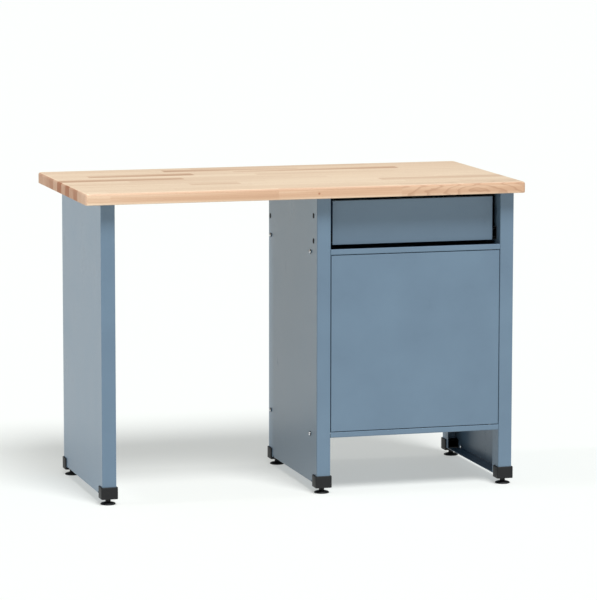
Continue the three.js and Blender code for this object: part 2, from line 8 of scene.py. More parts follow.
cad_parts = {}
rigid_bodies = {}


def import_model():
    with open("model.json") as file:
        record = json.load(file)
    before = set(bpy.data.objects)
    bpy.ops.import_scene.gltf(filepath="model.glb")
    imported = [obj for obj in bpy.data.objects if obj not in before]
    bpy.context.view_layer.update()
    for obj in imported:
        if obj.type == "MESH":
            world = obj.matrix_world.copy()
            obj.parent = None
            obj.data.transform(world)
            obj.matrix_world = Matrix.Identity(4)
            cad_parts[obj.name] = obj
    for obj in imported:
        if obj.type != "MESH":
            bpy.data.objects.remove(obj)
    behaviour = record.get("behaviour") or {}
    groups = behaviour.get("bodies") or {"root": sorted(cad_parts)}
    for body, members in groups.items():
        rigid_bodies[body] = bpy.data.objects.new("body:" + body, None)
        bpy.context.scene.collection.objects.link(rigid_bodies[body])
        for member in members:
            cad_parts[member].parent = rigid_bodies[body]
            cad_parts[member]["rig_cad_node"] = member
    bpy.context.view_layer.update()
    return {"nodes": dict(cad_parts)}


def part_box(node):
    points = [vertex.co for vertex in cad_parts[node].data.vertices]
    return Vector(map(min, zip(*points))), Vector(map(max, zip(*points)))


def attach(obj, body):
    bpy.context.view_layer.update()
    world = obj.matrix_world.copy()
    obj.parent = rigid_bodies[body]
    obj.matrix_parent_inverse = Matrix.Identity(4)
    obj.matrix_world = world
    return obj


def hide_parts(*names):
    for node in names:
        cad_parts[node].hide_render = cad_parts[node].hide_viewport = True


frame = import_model()
nodes = frame["nodes"]
print("frame loaded:", len(nodes), "nodes")

mm = 0.001  # outlines of turned pieces are in mm, all else in metres
touch = 1e-5  # what lies closer than this is taken as level
square = 0.99  # cosine: a face that looks more nearly along an axis than this is square to it

# camera fitted to the bench in the photo
shot = {
    "place": (-2.51144, -8.90148, 1.76362),
    "yaw": 16.089,  # degrees to the right
    "pitch": 7.847,  # degrees down
    "roll": 0.064,
    "focal": 3440.7,  # pixels
    "longSide": 600,  # pixels
    "sensor": 36,
    "farClip": 300,
}


def setCamera():
    aim = Matrix.Rotation(math.radians(-shot["yaw"]), 4, "Z")
    aim = aim @ Matrix.Rotation(math.radians(90 - shot["pitch"]), 4, "X")
    aim = aim @ Matrix.Rotation(math.radians(shot["roll"]), 4, "Z")
    bpy.ops.object.camera_add(location=shot["place"], rotation=aim.to_euler())
    camera = bpy.context.object
    camera.name = "photo_camera"
    camera.data.sensor_width = shot["sensor"]
    camera.data.lens = shot["focal"] / shot["longSide"] * shot["sensor"]
    camera.data.clip_end = shot["farClip"]
    bpy.context.scene.camera = camera


setCamera()
print("camera set")


def tint(red, green, blue):  # screen colour to light values
    parts = [v / 255 for v in (red, green, blue)]
    return tuple(v / 12.92 if v <= 0.04045 else ((v + 0.055) / 1.055) ** 2.4 for v in parts) + (1.0,)


class Sock:  # a shader socket that can be written in sums
    def __init__(self, finish, out):
        self.finish, self.out = finish, out

    def maths(self, operation, *values):
        return self.finish.node("Math", {"operation": operation}, dict(enumerate(values)))

    def __add__(self, other):
        return self.maths("ADD", self, other)

    def __sub__(self, other):
        return self.maths("SUBTRACT", self, other)

    def __rsub__(self, other):
        return self.maths("SUBTRACT", other, self)

    def __mul__(self, other):
        return self.maths("MULTIPLY", self, other)

    def __truediv__(self, other):
        return self.maths("DIVIDE", self, other)

    def __pow__(self, other):
        return self.maths("POWER", self, other)

    __radd__ = __add__
    __rmul__ = __mul__


class Finish:  # one material, or the sky, and its nodes
    def __init__(self, name, kind=bpy.data.materials):
        self.material = kind.new(name)
        self.material.use_nodes = True
        self.tree = self.material.node_tree
        self.tree.nodes.clear()

    def node(self, kind, settings=None, inputs=None, out=0):
        made = self.tree.nodes.new("ShaderNode" + kind)
        for key, value in (settings or {}).items():
            if key == "stops":
                while len(made.color_ramp.elements) < len(value):
                    made.color_ramp.elements.new(1)
                for stop, (position, shade) in zip(made.color_ramp.elements, value):
                    stop.position, stop.color = position, (shade, shade, shade, 1)
            else:
                setattr(made, key, value)
        for key, value in (inputs or {}).items():
            if isinstance(value, Sock):
                self.tree.links.new(value.out, made.inputs[key])
            else:
                made.inputs[key].default_value = value
        return Sock(self, made.outputs[out]) if made.outputs else None

    def place(self):
        return self.node("TexCoord", out="Object")

    def parts(self, vector):
        split = self.node("SeparateXYZ", None, {0: vector})
        return [Sock(self, out) for out in split.out.node.outputs]

    def carried(self, name):  # the three values that the faces of a piece carry under this name
        return self.parts(self.node("Attribute", {"attribute_name": name}, out="Vector"))

    def noise(self, vector, scale, detail=2.0, rough=0.5):  # scale per metre, or one for each axis
        if isinstance(scale, tuple):
            vector = self.node("VectorMath", {"operation": "MULTIPLY"}, {0: vector, 1: scale}, "Vector")
            scale = 1.0
        inputs = {"Vector": vector, "Scale": scale, "Detail": detail, "Roughness": rough}
        return self.node("TexNoise", None, inputs)

    def curve(self, value, *stops):
        return self.node("ValToRGB", {"stops": stops}, {"Fac": value})

    def mix(self, factor, first, second):
        return self.node("Mix", {"data_type": "RGBA"}, {0: factor, 6: first, 7: second}, 2)

    def bump(self, height, strength, distance):
        return self.node("Bump", None, {"Height": height, "Strength": strength, "Distance": distance})

    def close(self, **inputs):
        names = {key.replace("_", " "): value for key, value in inputs.items()}
        shader = self.node("BsdfPrincipled", None, names)
        self.node("OutputMaterial", None, {"Surface": shader})
        return self.material


# satin powder coat on the sheet steel
coat = {
    "deep": tint(88, 109, 128),
    "light": tint(94, 116, 135),
    "cloud": 9.0,  # scales of the noises, per metre
    "peel": 700.0,
    "grain": 2600.0,
    "cloudShare": 0.75,  # of the colour, the rest is grain
    "spread": ((0.3, 0.0), (0.7, 1.0)),
    "peelShare": 0.8,  # of the relief, the rest is grain
    "relief": (0.22, 0.0004),  # strength and height
    "rough": (0.22, 0.1, 0.06),  # everywhere, by cloud and by grain
    "ior": 1.5,
}


def coatFinish():
    f = Finish("powder_coat")
    place = f.place()
    cloud = f.noise(place, coat["cloud"], 3)
    peel = f.noise(place, coat["peel"], 1)
    grain = f.noise(place, coat["grain"], 1)
    share = coat["cloudShare"]
    blend = f.curve(cloud * share + grain * (1 - share), *coat["spread"])
    colour = f.mix(blend, coat["deep"], coat["light"])
    plain, byCloud, byGrain = coat["rough"]
    rough = plain + cloud * byCloud + grain * byGrain
    share = coat["peelShare"]
    relief = f.bump(peel * share + grain * (1 - share), *coat["relief"])
    return f.close(Base_Color=colour, Roughness=rough, Normal=relief, IOR=coat["ior"])


# oiled beech, staves told apart by the slab's own attributes
beech = {
    "pale": tint(231, 210, 183),
    "warm": tint(192, 156, 127),
    "brown": tint(146, 103, 76),
    "endPale": tint(199, 169, 145),
    "endBrown": tint(146, 91, 60),
    # painted light and shade up the slab's long edges, from paler (0) over plain (0.5) to browner (1): paler
    # bands along the lower edge and near the top of the front as painted highlight, browner on the upper
    # rounding as painted shade that tones down the highlight there
    "edgeLightAndShade": (
        (0.0, 0.5), (0.05, 0.05), (0.11, 0.15), (0.26, 0.5), (0.45, 0.5),
        (0.76, 0.2), (0.84, 0.4), (0.95, 0.56), (1.0, 0.5),
    ),
    # growth rings: how they stray from round, and how dark each is from its inside out
    "ringsPerMetre": 210.0,
    "wander": (5.0, 22.0, 22.0),  # noises per metre along the stave, across it and up
    "kink": (26.0, 60.0, 60.0),
    "stray": (0.006, 0.02, 0.012),  # all rings by wander, figured ones more by wander and by kink
    "archTip": 0.03,  # how round the tip of arched grain is
    "lateWood": ((0.0, 0.05), (0.6, 0.15), (0.88, 1.0), (1.0, 0.05)),
    # marks along the stave
    "drift": (1.1, 26.0, 26.0),
    "streak": (1.7, 120.0, 70.0),
    "streakStops": ((0.52, 0.0), (0.74, 1.0)),
    "fibre": (9.0, 520.0, 520.0),
    "fleck": (170.0, 1300.0, 1300.0),
    "fleckStops": ((0.62, 0.0), (0.72, 1.0)),
    "coarse": 0.6,  # roughness of the streak and fibre noise
    "knot": (0.026, 0.014),  # on the front edge: right of the middle, and above the lower edge
    "knotSize": 0.004,
    "knotStops": ((0.4, 1.0), (1.0, 0.0)),
    # how much of each shows, on the sides and on the ends of the staves
    "sideDrift": 0.7,
    "sideFibre": 0.3,
    "sideStreak": 0.35,
    "leanStreak": 0.03,  # more streaks on staves that darken to the front
    "sideBrown": 0.7,
    "sideFleck": 0.35,
    "sideKnot": 0.8,
    "endShade": 0.9,
    "endDrift": 0.6,
    "endRings": 0.25,
    "endFleck": 0.2,
    "rough": (0.4, 0.12, 0.35),  # everywhere, by fibre and on the ends
    "relief": (0.2, 0.0003),
    "reliefParts": (0.6, 0.4, 0.15),  # fibre, fleck and rings
    "ior": 1.48,
}


def beechFinish():
    f = Finish("oiled_beech")
    place = f.place()
    x, y, z = f.parts(place)
    middleY, middleZ, slope = f.carried("heart")
    shade, end, seed = f.carried("stave")
    figure, peak = f.carried("figure")[:2]
    along, aside = f.carried("lean")[:2]
    own = f.node("CombineXYZ", None, {"X": x + seed, "Y": y, "Z": z})
    low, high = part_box("bench_top")
    # painted highlight and shade along the long edges of the slab, left off the end grain
    paintedEdgeLight = f.curve((z - low.z) / (high.z - low.z), *beech["edgeLightAndShade"]) - 0.5
    shade = shade + along * x + aside * y + paintedEdgeLight * (1 - end)
    # growth rings round the heart of the tree that the stave came from
    wander = f.noise(own, beech["wander"], 2) - 0.5
    kink = f.noise(own, beech["kink"], 1) - 0.5
    bow = ((x - peak) ** 2 + beech["archTip"] ** 2) ** 0.5
    across = y - middleY - slope * bow
    upward = z - middleZ
    byAll, byFigure, byKink = beech["stray"]
    radius = (across * across + upward * upward) ** 0.5
    radius = radius + wander * (byAll + figure * byFigure) + kink * figure * byKink
    ring = radius * beech["ringsPerMetre"]
    late = f.curve(ring.maths("FRACT", ring), *beech["lateWood"])
    # streaks, fibres, rays and the one knot
    drift = f.noise(own, beech["drift"], 2) - 0.5
    streak = f.curve(f.noise(own, beech["streak"], 2, beech["coarse"]), *beech["streakStops"])
    fibre = f.noise(own, beech["fibre"], 3, beech["coarse"])
    fleck = f.curve(f.noise(own, beech["fleck"], 1), *beech["fleckStops"])
    right, up = beech["knot"]
    spot = (right, low.y, low.z + up)
    away = f.node("VectorMath", {"operation": "DISTANCE"}, {0: place, 1: spot}, "Value")
    knot = f.curve(away / beech["knotSize"], *beech["knotStops"])
    # long sides of the staves
    tone = shade + drift * beech["sideDrift"] + (fibre - 0.5) * beech["sideFibre"]
    tone = tone + streak * (beech["sideStreak"] - aside * beech["leanStreak"])
    side = f.mix(f.curve(tone, (0.0, 0.0), (1.0, 1.0)), beech["pale"], beech["warm"])
    side = f.mix(f.curve(tone - 1, (0.0, 0.0), (1.0, beech["sideBrown"])), side, beech["brown"])
    side = f.mix(late * figure, side, beech["brown"])
    side = f.mix(fleck * beech["sideFleck"], side, beech["brown"])
    side = f.mix(knot * beech["sideKnot"], side, beech["endBrown"])
    # end grain
    tone = f.curve(shade * beech["endShade"] + drift * beech["endDrift"], (0.0, 0.0), (1.0, 1.0))
    butt = f.mix(tone, beech["endPale"], beech["endBrown"])
    butt = f.mix(late * beech["endRings"] + fleck * beech["endFleck"], butt, beech["endBrown"])
    colour = f.mix(end, side, butt)
    plain, byFibre, byEnd = beech["rough"]
    rough = plain + fibre * byFibre + end * byEnd
    ofFibre, ofFleck, ofRings = beech["reliefParts"]
    relief = f.bump(fibre * ofFibre - fleck * ofFleck + late * ofRings, *beech["relief"])
    return f.close(Base_Color=colour, Roughness=rough, Normal=relief, IOR=beech["ior"])


# moulded black plastic of caps, feet and latch
moulded = {
    "dark": tint(13, 14, 16),
    "light": tint(21, 22, 24),
    "cloud": 60.0,  # per metre
    "pebble": 1500.0,
    "rough": (0.42, 0.16),  # everywhere and by cloud
    "cloudRelief": 0.3,
    "relief": (0.25, 0.0003),
    "specular": 0.32,
}


def mouldedFinish():
    f = Finish("moulded_plastic")
    place = f.place()
    cloud = f.noise(place, moulded["cloud"], 3)
    inputs = {"Vector": place, "Scale": moulded["pebble"]}
    pebble = f.node("TexVoronoi", {"feature": "SMOOTH_F1"}, inputs, "Distance")
    colour = f.mix(cloud, moulded["dark"], moulded["light"])
    plain, byCloud = moulded["rough"]
    rough = plain + cloud * byCloud
    relief = f.bump(pebble + cloud * moulded["cloudRelief"], *moulded["relief"])
    return f.close(Base_Color=colour, Roughness=rough, Normal=relief, Specular_IOR_Level=moulded["specular"])


# zinc plate: plain on pins, darkened on the runners as painted shade of the dark drawer gap, brightened on
# the screws as a painted highlight
zinc = {
    "zinc_plate": {"grey": tint(132, 135, 138), "bright": tint(166, 169, 172), "rough": 0.32},
    # darkened copy for the runners: painted shade
    "zinc_painted_shade": {"grey": tint(52, 54, 56), "bright": tint(72, 74, 77), "rough": 0.36},
    # brightened copy for the screws: painted highlight
    "zinc_painted_highlight": {"grey": tint(206, 209, 212), "bright": tint(236, 238, 240), "rough": 0.2},
    "spangle": 160.0,  # per metre
    "drawn": (900.0, 30.0, 900.0),  # marks of drawing, per metre on each axis
    "spangleShare": 0.6,  # of the colour, the rest is drawing marks
    "roughBy": (0.1, 0.14),  # spangle and drawing marks
    "relief": (0.15, 0.0002),
}


def zincFinish(name):
    f = Finish(name)
    place = f.place()
    spangle = f.node("TexVoronoi", None, {"Vector": place, "Scale": zinc["spangle"]}, "Color")
    drawn = f.noise(place, zinc["drawn"], 2)
    patch = f.parts(spangle)[0]
    share = zinc["spangleShare"]
    colour = f.mix(patch * share + drawn * (1 - share), zinc[name]["grey"], zinc[name]["bright"])
    byPatch, byDrawn = zinc["roughBy"]
    rough = zinc[name]["rough"] + patch * byPatch + drawn * byDrawn
    relief = f.bump(drawn, *zinc["relief"])
    return f.close(Base_Color=colour, Roughness=rough, Normal=relief, Metallic=1.0)


# natural nylon of bushes and plunger
nylon = {
    "cream": tint(214, 211, 200),
    "white": tint(232, 230, 222),
    "cloud": 120.0,  # per metre
    "fine": 1800.0,
    "rough": (0.38, 0.14),  # everywhere and by cloud
    "relief": (0.15, 0.0002),
    "ior": 1.53,
}


def nylonFinish():
    f = Finish("natural_nylon")
    place = f.place()
    cloud = f.noise(place, nylon["cloud"], 3)
    colour = f.mix(cloud, nylon["cream"], nylon["white"])
    plain, byCloud = nylon["rough"]
    rough = plain + cloud * byCloud
    relief = f.bump(f.noise(place, nylon["fine"], 1), *nylon["relief"])
    return f.close(Base_Color=colour, Roughness=rough, Normal=relief, IOR=nylon["ior"])


finishes = {
    "blue_coat": coatFinish(),
    "beech_wood": beechFinish(),
    "black_plastic": mouldedFinish(),
    "zinc_steel": zincFinish("zinc_plate"),
    "runner_steel_painted_shade": zincFinish("zinc_painted_shade"),
    "screw_steel_painted_highlight": zincFinish("zinc_painted_highlight"),
    "white_nylon": nylonFinish(),
}
for name, node in nodes.items():
    for holder in node.material_slots:
        # the drawer rails take the darkened zinc: painted shade for the gap they sit in
        holder.material = finishes["runner_steel_painted_shade" if name.endswith("_rail") else holder.material.name]
print("finishes made:", len(finishes))


def clearPick():
    if bpy.context.object and bpy.context.object.mode != "OBJECT":
        bpy.ops.object.mode_set(mode="OBJECT")
    bpy.ops.object.select_all(action="DESELECT")


def pick(piece, kind, test):  # edit mode with the faces, edges or verts that pass
    bpy.ops.object.mode_set(mode="EDIT")
    bpy.ops.mesh.select_mode(type=kind)
    bpy.ops.mesh.select_all(action="DESELECT")
    bpy.ops.object.mode_set(mode="OBJECT")
    mesh = piece.data
    for item in {"VERT": mesh.vertices, "EDGE": mesh.edges, "FACE": mesh.polygons}[kind]:
        item.select = test(item)
    bpy.ops.object.mode_set(mode="EDIT")


def settle(piece, slot, body, stands=(), smooth=35, finish=None):
    clearPick()
    piece.select_set(True)
    bpy.context.view_layer.objects.active = piece
    bpy.ops.object.transform_apply(location=True, rotation=True, scale=True)
    bpy.ops.object.shade_smooth_by_angle(angle=math.radians(smooth))
    piece.data.name = piece.name
    piece.data.materials.clear()
    piece.data.materials.append(finishes[finish or slot])
    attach(piece, body)
    if stands:
        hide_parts(*stands)


# bench top: glued staves, front row first, each with its right end and how brown it is
slab = {
    "corner": 0.009,  # radius of the four upright corners
    "round": (0.0065, 0.002),  # of the upper and lower edges
    "roundSteps": 5,
    "smooth": 30,
    "rowWidth": 0.05,
    "slack": 1e-4,  # a face belongs to a stave when its middle is no further out than this
    "rows": (
        ((-0.535, 0.08), (-0.084, 0.10), (0.253, 0.12), (0.600, 0.16)),
        ((-0.350, 0.08), (0.437, 0.10), (0.600, 0.26)),
        ((-0.120, 0.12), (0.300, 0.05), (0.600, 0.10)),
        ((-0.280, 0.16), (-0.144, 0.34), (0.246, 0.08), (0.600, 0.42)),
        ((-0.060, 0.18), (0.420, 0.06), (0.600, 0.16)),
        ((-0.420, 0.12), (0.130, 0.16), (0.600, 0.10)),
        ((-0.261, 0.88), (0.040, 0.28), (0.600, 0.14)),
        ((-0.042, 0.12), (0.350, 0.22), (0.600, 0.16)),
        ((-0.500, 0.20), (-0.208, 0.84), (0.260, 0.14), (0.600, 0.16)),
        ((-0.084, 0.14), (0.388, 0.58), (0.600, 0.20)),
        ((-0.268, 0.22), (0.113, 0.64), (0.600, 0.24)),
        ((-0.180, 0.18), (0.330, 0.30), (0.600, 0.22)),
    ),
    "leftEnds": (0.02, 0.10, 0.74, 0.46, 0.95, 0.44, 0.98, 0.22, 0.62, 0.42, 0.28, 0.32),
    "rightEnds": (5, 3),  # stride and start with which the right ends take the shades of the left ones
    # where the front row shows its edge: shade in the middle of each stave and how it grows per metre
    "frontEdge": ((0.78, 0.0), (1.02, 0.9), (1.0, 0.2), (1.1, 0.2)),
    "brownLean": (0.5, -11.0),  # staves browner than this darken to the front by so much per metre
    # by row and stave: how much such a stave darkens to the right, per metre
    "brownFade": {(6, 0): -0.9, (8, 1): 1.2, (9, 1): 1.3, (10, 1): -1.6},
    "endFacing": 0.6,  # cosine: faces that look more to the side than this show end grain
    "frontFacing": 0.7,  # cosine: faces that look more to the front than this are the front edge
    "flame": {"stave": (0, 3), "peak": 0.47, "depth": 0.03, "height": 0.8, "slope": 0.11},  # arched grain
    "figure": (0.16, 0.5),  # how strongly rings show, plain and arched
    "heartAside": (0.03, 0.16),  # ranges for the drawn place of each stave's heart and for its grain
    "heartDrop": (0.01, 0.14),
    "heartSlope": (-0.02, 0.02),
    "shift": (1, 60),
    "peak": (-1, 1),
    "seed": 11,
}


def shapeSlab(low, high):
    clearPick()
    bpy.ops.mesh.primitive_cube_add(size=1, location=(low + high) / 2, scale=high - low)
    piece = bpy.context.object
    piece.name = "beech_slab"
    bpy.ops.object.transform_apply(location=True, rotation=True, scale=True)
    verts = piece.data.vertices

    def upright(edge):
        lower, upper = [verts[k].co.z for k in edge.vertices]
        return abs(upper - lower) > slab["corner"]

    pick(piece, "EDGE", upright)
    bpy.ops.mesh.bevel(offset=slab["corner"], segments=slab["roundSteps"], affect="EDGES")
    for up, radius in zip((1, -1), slab["round"]):
        pick(piece, "FACE", lambda face: face.normal.z * up > square)
        bpy.ops.mesh.region_to_loop()
        bpy.ops.mesh.bevel(offset=radius, segments=slab["roundSteps"], affect="EDGES")
    return piece


def cutStaves(piece, lines):
    for line in lines[1:-1]:  # glue lines
        bpy.ops.mesh.select_all(action="SELECT")
        bpy.ops.mesh.bisect(plane_co=(0, line, 0), plane_no=(0, 1, 0))
    slack = slab["slack"]
    for k, row in enumerate(slab["rows"]):  # butt joints inside each row
        for right, shade in row[:-1]:
            pick(piece, "FACE", lambda face: lines[k] - slack < face.center.y < lines[k + 1] + slack)
            bpy.ops.mesh.bisect(plane_co=(right, 0, 0), plane_no=(1, 0, 0))
    bpy.ops.object.mode_set(mode="OBJECT")


def drawGrain(low, lines):
    draw = random.Random(slab["seed"])
    hearts, seeds, peaks = {}, {}, {}
    for k, row in enumerate(slab["rows"]):
        for i in range(len(row)):
            side = draw.choice((-1, 1))
            hearts[k, i] = (
                (lines[k] + lines[k + 1]) / 2 + side * draw.uniform(*slab["heartAside"]),
                low.z - draw.uniform(*slab["heartDrop"]),
                draw.uniform(*slab["heartSlope"]),
            )
            seeds[k, i] = draw.uniform(*slab["shift"])
            peaks[k, i] = draw.uniform(*slab["peak"])
    flame = slab["flame"]
    hearts[flame["stave"]] = (low.y + flame["depth"], flame["height"], flame["slope"])
    peaks[flame["stave"]] = flame["peak"]
    return hearts, seeds, peaks


def paintStaves(piece, low, lines):
    hearts, seeds, peaks = drawGrain(low, lines)
    rows, leftEnds = slab["rows"], slab["leftEnds"]
    stride, start = slab["rightEnds"]
    ends = [[low.x] + [right for right, shade in row] for row in rows]
    layers = piece.data.attributes
    for name in ("heart", "stave", "figure", "lean"):
        layers.new(name, "FLOAT_VECTOR", "FACE")
    for face in piece.data.polygons:
        k = min(int((face.center.y - low.y) / slab["rowWidth"]), len(rows) - 1)
        i = next(n for n, (right, shade) in enumerate(rows[k]) if face.center.x < right + slab["slack"])
        isEnd = abs(face.normal.x) > slab["endFacing"]
        shade = rows[k][i][1]
        along = aside = 0.0
        if isEnd:
            shade = leftEnds[k] if face.center.x < 0 else leftEnds[(k * stride + start) % len(rows)]
        elif face.normal.y < -slab["frontFacing"]:
            shade, along = slab["frontEdge"][i]
        elif shade > slab["brownLean"][0]:
            along, aside = slab["brownFade"].get((k, i), 0.0), slab["brownLean"][1]
        shade -= along * (ends[k][i] + ends[k][i + 1]) / 2 + aside * (lines[k] + lines[k + 1]) / 2
        strength = slab["figure"][(k, i) == slab["flame"]["stave"]]
        layers["heart"].data[face.index].vector = hearts[k, i]
        layers["stave"].data[face.index].vector = (shade, 1.0 if isEnd else 0.0, seeds[k, i])
        layers["figure"].data[face.index].vector = (strength, peaks[k, i], 0.0)
        layers["lean"].data[face.index].vector = (along, aside, 0.0)


def makeSlab():
    low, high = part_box("bench_top")
    lines = [low.y + slab["rowWidth"] * k for k in range(len(slab["rows"]) + 1)]
    piece = shapeSlab(low, high)
    cutStaves(piece, lines)
    paintStaves(piece, low, lines)
    settle(piece, "beech_wood", "bench", ["bench_top"], slab["smooth"])


makeSlab()
print("bench top made")


def turn(name, profile, sides):  # turned piece on the Z axis, from (radius, height) pairs in mm
    clearPick()
    profile = [(r * mm, h * mm) for r, h in profile]
    radius, height = profile[0]
    place = (0, 0, height)
    bpy.ops.mesh.primitive_circle_add(vertices=sides, radius=radius, fill_type="NGON", location=place)
    piece = bpy.context.object
    piece.name = name
    bpy.ops.object.mode_set(mode="EDIT")
    bpy.ops.mesh.select_mode(type="FACE")
    bpy.ops.mesh.select_all(action="SELECT")
    for (r0, h0), (r1, h1) in zip(profile, profile[1:]):
        bpy.ops.mesh.extrude_region_move(TRANSFORM_OT_translate={"value": (0, 0, h1 - h0)})
        bpy.ops.transform.resize(value=(r1 / r0, r1 / r0, 1), center_override=(0, 0, h1))
    bpy.ops.mesh.select_all(action="SELECT")
    bpy.ops.mesh.normals_make_consistent(inside=False)
    bpy.ops.object.mode_set(mode="OBJECT")
    bpy.ops.object.transform_apply(location=True, rotation=True, scale=True)
    return piece


def copyTo(model, name, place, tilt=(0, 0, 0)):
    clearPick()
    model.select_set(True)
    bpy.context.view_layer.objects.active = model
    bpy.ops.object.duplicate()
    piece = bpy.context.object
    piece.name = name
    piece.location = place
    piece.rotation_euler = [math.radians(a) for a in tilt]
    return piece


def drop(model):
    clearPick()
    model.select_set(True)
    bpy.context.view_layer.objects.active = model
    bpy.ops.object.delete()


# levelling feet: moulded disc, two spanner flats and a threaded stem, in mm
foot = {
    "sides": 48,
    "smooth": 40,
    "disc": (
        (16.5, 0.6), (17.5, 0.0), (18.9, 0.0), (19.7, 0.4), (20.0, 1.1),
        (20.0, 2.2), (19.6, 3.0), (18.5, 3.8), (16.6, 4.6), (14.0, 5.3),
        (11.4, 5.9), (9.5, 6.4), (8.2, 7.0), (7.3, 7.9), (6.95, 9.0),
    ),
    "flats": (9.0, 14.5),  # heights of the spanner flats
    "across": 12.1,
    "thread": (6.9, 6.1),  # crest and root radius
    "pitch": 1.5,
    "neck": 0.2,  # between the flats and the first turn
    "ridge": (0.2, 0.75, 0.95),  # in each turn: where the root ends and the crest begins and ends
    "runOut": 0.3,  # between the last turn and the point
    "point": 1.2,  # how far the upper end tapers in
    "clear": 1.0,  # the last turn ends at least this far below the upper end
    "stemTop": 42.0,
}


def makeFeet():
    crest, root = foot["thread"]
    rootEnd, crestStart, crestEnd = foot["ridge"]
    profile = list(foot["disc"])
    profile.append((profile[-1][0], foot["flats"][1]))
    height = foot["flats"][1] + foot["neck"]
    while height + foot["pitch"] < foot["stemTop"] - foot["clear"]:
        profile += [(root, height + rootEnd), (crest, height + crestStart), (crest, height + crestEnd)]
        height += foot["pitch"]
    profile += [(root, height + foot["runOut"]), (root - foot["point"], foot["stemTop"])]
    model = turn("foot_model", profile, foot["sides"])
    low, high = (h * mm for h in foot["flats"])
    flat = foot["across"] / 2 * mm
    for side in (-1, 1):
        pick(model, "VERT", lambda vert: low - touch < vert.co.z < high + touch and vert.co.y * side > flat)
        bpy.ops.transform.resize(value=(1, 0, 1), center_override=(0, flat * side, 0))
    bpy.ops.object.mode_set(mode="OBJECT")
    for name in [n for n in nodes if n.endswith("_foot")]:
        low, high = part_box(name)
        piece = copyTo(model, name + "_turned", ((low.x + high.x) / 2, (low.y + high.y) / 2, low.z))
        settle(piece, "black_plastic", name + "_body", [name], foot["smooth"])
    drop(model)


makeFeet()
print("feet made")


# how a CAD mesh is closed: points this near are welded, faces this nearly level are joined
merged = {"weld": 1e-6, "level": 1}  # metres and degrees


def mergedCopy(name, newName):  # a CAD node as a closed mesh of its own
    piece = copyTo(nodes[name], newName, (0, 0, 0))
    bpy.ops.object.parent_clear(type="CLEAR_KEEP_TRANSFORM")
    del piece["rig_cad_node"]
    bpy.ops.object.mode_set(mode="EDIT")
    bpy.ops.mesh.select_all(action="SELECT")
    bpy.ops.mesh.remove_doubles(threshold=merged["weld"])
    bpy.ops.mesh.dissolve_limited(angle_limit=math.radians(merged["level"]))
    bpy.ops.object.mode_set(mode="OBJECT")
    bpy.ops.mesh.customdata_custom_splitnormals_clear()
    return piece


# foot caps: the CAD shape with rounded rims and a moulded hollow in the inner end
cap = {
    "edge": 0.0015,
    "steps": 3,
    "smooth": 40,
    "band": 0.001,  # rims are the level edges no further in than this
    "skin": 0.0006,
    "hollow": 0.006,
}


def makeCaps():
    for name in [n for n in nodes if n.endswith("_foot_cap")]:
        low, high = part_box(name)
        inward = 1 if "_front_" in name else -1
        end = high.y if inward > 0 else low.y
        piece = mergedCopy(name, name + "_moulded")
        verts = piece.data.vertices

        def onRim(edge):
            ends = [verts[k].co for k in edge.vertices]
            level = [min(p.z - low.z, high.z - p.z) < touch for p in ends]
            outer = [min(p.x - low.x, high.x - p.x, p.y - low.y, high.y - p.y) < cap["band"] for p in ends]
            return all(level) and all(outer) and abs(ends[0].z - ends[1].z) < touch

        pick(piece, "EDGE", onRim)
        bpy.ops.mesh.bevel(offset=cap["edge"], segments=cap["steps"], affect="EDGES")
        pick(piece, "FACE", lambda face: face.normal.y * inward > square and abs(face.center.y - end) < touch)
        bpy.ops.mesh.inset(thickness=cap["skin"])
        bpy.ops.mesh.extrude_region_move(TRANSFORM_OT_translate={"value": (0, -inward * cap["hollow"], 0)})
        settle(piece, "black_plastic", "bench", [name], cap["smooth"])


makeCaps()
print("foot caps made")


# zinc screws with domed heads, on black washers in the webs that also paint the shaded dark rim round each
# head, and bare under the top
screw = {
    "sides": 32,
    "dome": (
        (4.8, -0.3), (4.8, 0.6), (4.6, 1.2), (4.0, 2.1), (3.2, 2.7),
        (2.6, 2.95), (2.3, 3.0), (2.1, 2.9), (1.9, 1.4),
    ),
    "washer": ((5.6, 0.0), (5.8, 0.2), (5.8, 1.5), (5.5, 1.8), (4.9, 1.8), (4.6, 1.6)),
    "frontIn": 0.061,  # behind the front of the panel
    "rearIn": 0.0225,
    "heights": (0.154, 0.644),
    "topRows": (-0.149, -0.0225, 0.104),
    "topSize": 1.3,
    "flange": 0.0015,  # sheet under the top
}


def makeScrews():
    head = turn("screw_model", screw["dome"], screw["sides"])
    ring = turn("washer_model", screw["washer"], screw["sides"])
    lift = max(height for radius, height in screw["washer"]) * mm
    for side, out in (("middle", -1), ("right", 1)):
        low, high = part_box(side + "_side_panel")
        face = low.x if out < 0 else high.x
        for place, y in (("front", low.y + screw["frontIn"]), ("rear", high.y - screw["rearIn"])):
            for level, z in zip(("low", "high"), screw["heights"]):
                spot = f"{side}_{place}_{level}"
                piece = copyTo(head, spot + "_screw", (face + out * lift, y, z), (0, out * 90, 0))
                settle(piece, "zinc_steel", "bench", finish="screw_steel_painted_highlight")
                # black washer, which also paints the shaded rim round the screw head
                piece = copyTo(ring, spot + "_washer", (face, y, z), (0, out * 90, 0))
                settle(piece, "black_plastic", "bench")
    for side in ("left", "middle", "right"):
        low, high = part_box(side + "_side_panel")
        for number, y in enumerate(screw["topRows"], 1):
            place = ((low.x + high.x) / 2, y, high.z - screw["flange"])
            piece = copyTo(head, f"{side}_top_screw_{number}", place, (180, 0, 0))
            piece.scale = (screw["topSize"],) * 3
            settle(piece, "zinc_steel", "bench", finish="screw_steel_painted_highlight")
    drop(head)
    drop(ring)


makeScrews()
print("screws made")


